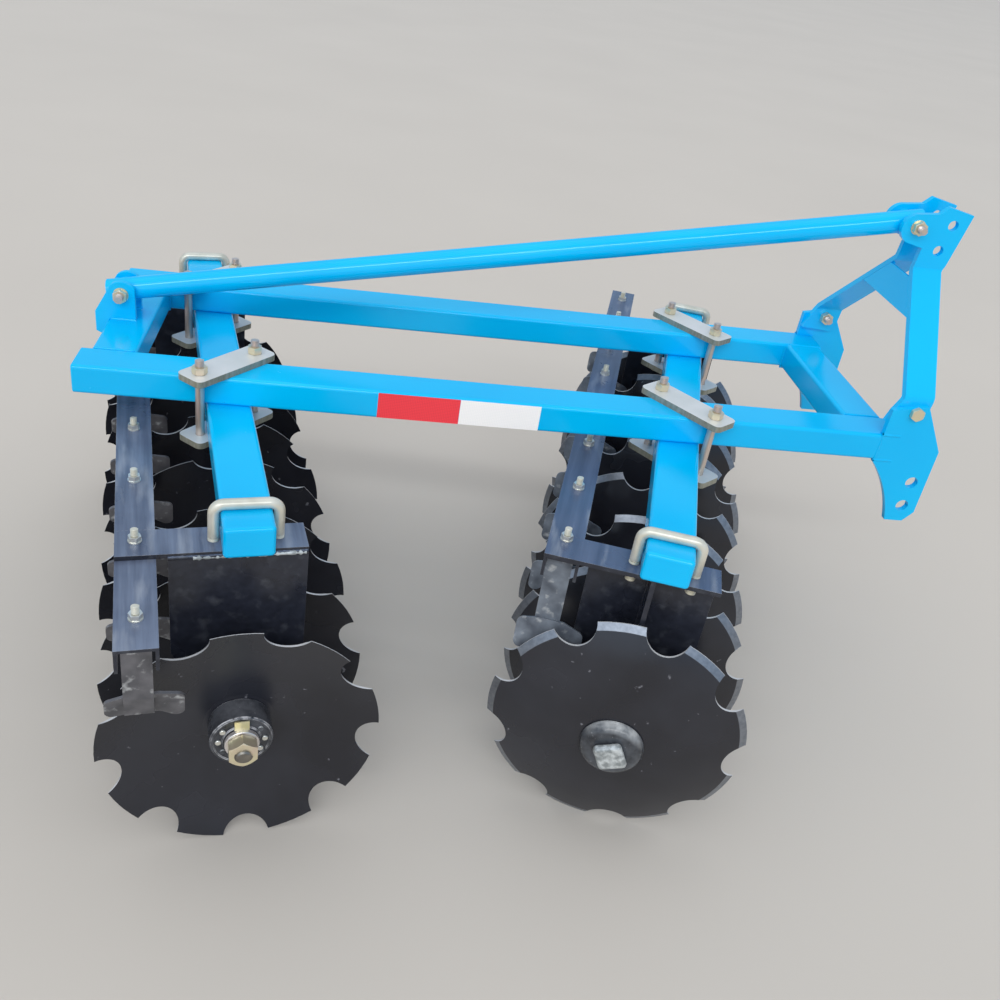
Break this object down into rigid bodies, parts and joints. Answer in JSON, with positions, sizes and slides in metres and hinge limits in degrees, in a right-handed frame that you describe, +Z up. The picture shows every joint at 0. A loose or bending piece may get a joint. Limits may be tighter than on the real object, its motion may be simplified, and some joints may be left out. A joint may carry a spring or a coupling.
{
  "type": "disc harrow",
  "caption": "Mounted offset disc harrow: blue box frame with A-shaped mast and brace, two angled gangs of notched discs that turn, and scrapers.",
  "frame": {"origin": "below the middle of the whole machine's box, on the ground that the discs stand on", "axes": "+X forward, towards the tractor; +Z up; +Y to the left of the direction of travel"},
  "size_m": [1.7748, 1.5779, 1.061],
  "materials": {
    "blue_paint": "gloss",
    "black_paint": "semi-gloss",
    "disc_black": "semi-gloss",
    "cast_black": "semi-gloss",
    "forged_black": "satin",
    "zinc_plate": "satin",
    "yellow_zinc": "satin"
  },
  "bodies": {
    "frame": {"main_beam_near": "blue_paint", "main_beam_far": "blue_paint", "cross_tube_rear": "blue_paint", "cross_tube_front": "blue_paint", "hitch_plate_near": "blue_paint", "hitch_plate_far": "blue_paint", "mast_arm_near": "blue_paint", "mast_arm_far": "blue_paint", "mast_gusset": "blue_paint", "brace_tube": "blue_paint", "brace_ear_near": "blue_paint", "brace_ear_far": "blue_paint", "brace_bolts": "yellow_zinc", "mast_bolts": "yellow_zinc", "rear_gang_beam": "blue_paint", "rear_clamp_plates": "zinc_plate", "rear_clamp_bolts": "yellow_zinc", "rear_u_bolts": "yellow_zinc", "rear_hangers": "black_paint", "rear_bearings": "cast_black", "rear_scraper_bar": "black_paint", "rear_scraper_channel": "black_paint", "rear_scrapers": "black_paint", "rear_scraper_bolts": "yellow_zinc", "front_gang_beam": "blue_paint", "front_clamp_plates": "zinc_plate", "front_clamp_bolts": "yellow_zinc", "front_u_bolts": "yellow_zinc", "front_hangers": "black_paint", "front_bearings": "cast_black", "front_scraper_bar": "black_paint", "front_scraper_channel": "black_paint", "front_scrapers": "black_paint", "front_scraper_bolts": "yellow_zinc"},
    "rear_gang": {"rear_shaft": "forged_black", "rear_spools": "cast_black", "rear_discs": "disc_black", "rear_end_fittings": "cast_black"},
    "front_gang": {"front_shaft": "forged_black", "front_spools": "cast_black", "front_discs": "disc_black", "front_end_fittings": "cast_black"}
  },
  "joints": [
    {"name": "rear_gang_spin", "type": "hinge", "parent": "frame", "child": "rear_gang", "pos_m": [-0.4095, -0.6326, 0.23], "axis": [-0.2062, 0.9785, 0], "continuous": true},
    {"name": "front_gang_spin", "type": "hinge", "parent": "frame", "child": "front_gang", "pos_m": [0.57416, 0.62195, 0.23], "axis": [0.2756, 0.9613, 0], "continuous": true}
  ]
}
